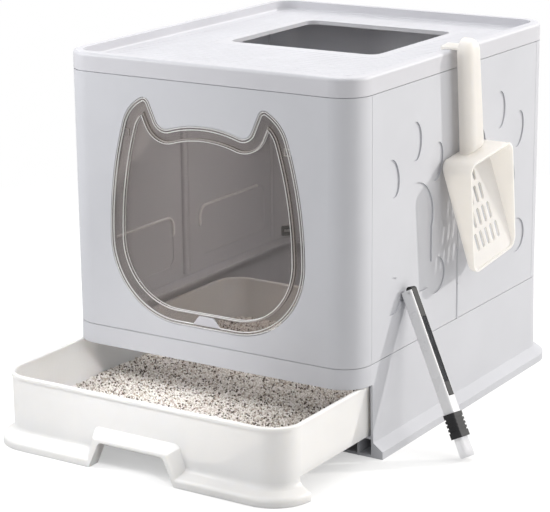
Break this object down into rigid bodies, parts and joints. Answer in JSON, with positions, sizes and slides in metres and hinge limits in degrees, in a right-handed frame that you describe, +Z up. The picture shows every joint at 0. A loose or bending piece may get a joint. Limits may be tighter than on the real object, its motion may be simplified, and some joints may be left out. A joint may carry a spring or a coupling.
{
  "type": "foldable litter box",
  "caption": "Foldable litter box with pull-out tray, cat-head swing door, inward folding walls, lift-off lid with top entry, hung sieve scoop and leaning brush.",
  "frame": {"origin": "centre of the base's flat underside, on the floor", "axes": "+Z up, +X to the right side with scoop and brush, the door and the drawer's front face -Y"},
  "size_m": [0.516, 0.653, 0.456],
  "materials": {
    "shell_plastic": "satin moulded polypropylene, light cool grey",
    "lid_plastic": "satin moulded polypropylene, light cool grey",
    "tray_plastic": "satin moulded polypropylene, warm white",
    "clear_plastic": "smoky clear polycarbonate",
    "tab_plastic": "satin pale plastic",
    "litter_grains": "loose mineral grains",
    "pin_steel": "plain drawn wire",
    "clip_plastic": "dark grey plastic",
    "brush_white_plastic": "smooth white plastic",
    "brush_black_plastic": "smooth black plastic",
    "tip_bristles": "nylon filaments, white",
    "strip_bristles": "nylon filaments, dark grey"
  },
  "bodies": {
    "base": {"base_tub": "shell_plastic", "front_panel": "shell_plastic", "front_right_pin": "pin_steel", "front_left_pin": "pin_steel", "front_right_clip": "clip_plastic", "front_left_clip": "clip_plastic"},
    "right_front": {"right_front_wall": "shell_plastic", "middle_right_pin": "pin_steel"},
    "right_rear": {"right_rear_wall": "shell_plastic"},
    "rear": {"rear_panel": "shell_plastic", "rear_right_pin": "pin_steel", "rear_left_pin": "pin_steel", "rear_right_clip": "clip_plastic", "rear_left_clip": "clip_plastic"},
    "left_front": {"left_front_wall": "shell_plastic", "middle_left_pin": "pin_steel"},
    "left_rear": {"left_rear_wall": "shell_plastic"},
    "door": {"door_flap": "clear_plastic", "door_tab": "tab_plastic"},
    "lid": {"lid": "lid_plastic"},
    "drawer": {"drawer_tray": "tray_plastic", "litter_bed": "litter_grains"},
    "scoop": {"scoop": "tray_plastic"},
    "brush": {"brush_handle": "brush_white_plastic", "brush_ferrule": "brush_black_plastic", "brush_bristles": "tip_bristles", "arm_pin": "pin_steel"},
    "brush_arm": {"brush_arm": "brush_black_plastic", "arm_bristles": "strip_bristles"}
  },
  "joints": [
    {"name": "wall_fold", "type": "hinge", "parent": "base", "child": "right_front", "pos_m": [0.1962, -0.206, 0.266], "axis": [0, 0, 1], "range_deg": [0, 68]},
    {"name": "right_middle_fold", "type": "hinge", "parent": "right_front", "child": "right_rear", "pos_m": [0.1992, 0, 0.266], "axis": [0, 0, -1], "range_deg": [0, 136]},
    {"name": "right_rear_fold", "type": "hinge", "parent": "right_rear", "child": "rear", "pos_m": [0.1962, 0.206, 0.266], "axis": [0, 0, 1], "range_deg": [0, 68]},
    {"name": "left_front_fold", "type": "hinge", "parent": "base", "child": "left_front", "pos_m": [-0.1962, -0.206, 0.266], "axis": [0, 0, -1], "range_deg": [0, 68]},
    {"name": "left_middle_fold", "type": "hinge", "parent": "left_front", "child": "left_rear", "pos_m": [-0.1992, 0, 0.266], "axis": [0, 0, 1], "range_deg": [0, 136]},
    {"name": "drawer_slide", "type": "slide", "parent": "base", "child": "drawer", "axis": [0, -1, 0], "range_m": [-0.141, 0.25]},
    {"name": "door_swing", "type": "hinge", "parent": "base", "child": "door", "pos_m": [0, -0.2388, 0.3528], "axis": [-1, 0, 0], "range_deg": [-75, 75]},
    {"name": "lid_lift", "type": "slide", "parent": "base", "child": "lid", "axis": [0, 0, 1], "range_m": [0, 0.1]},
    {"name": "scoop_lift", "type": "slide", "parent": "lid", "child": "scoop", "axis": [0, 0, 1], "range_m": [0, 0.08]},
    {"name": "brush_lift", "type": "slide", "parent": "base", "child": "brush", "axis": [0.5, 0, 0.866], "range_m": [0, 0.15]},
    {"name": "brush_arm_fold", "type": "hinge", "parent": "brush", "child": "brush_arm", "pos_m": [0.20977, -0.12895, 0.17808], "axis": [0, -0.9873, 0.1591], "range_deg": [0, 150]}
  ],
  "couplings": [
    {"joint": "right_middle_fold", "follows": "wall_fold", "ratio": 2},
    {"joint": "right_rear_fold", "follows": "wall_fold", "ratio": 1},
    {"joint": "left_front_fold", "follows": "wall_fold", "ratio": 1},
    {"joint": "left_middle_fold", "follows": "wall_fold", "ratio": 2}
  ]
}
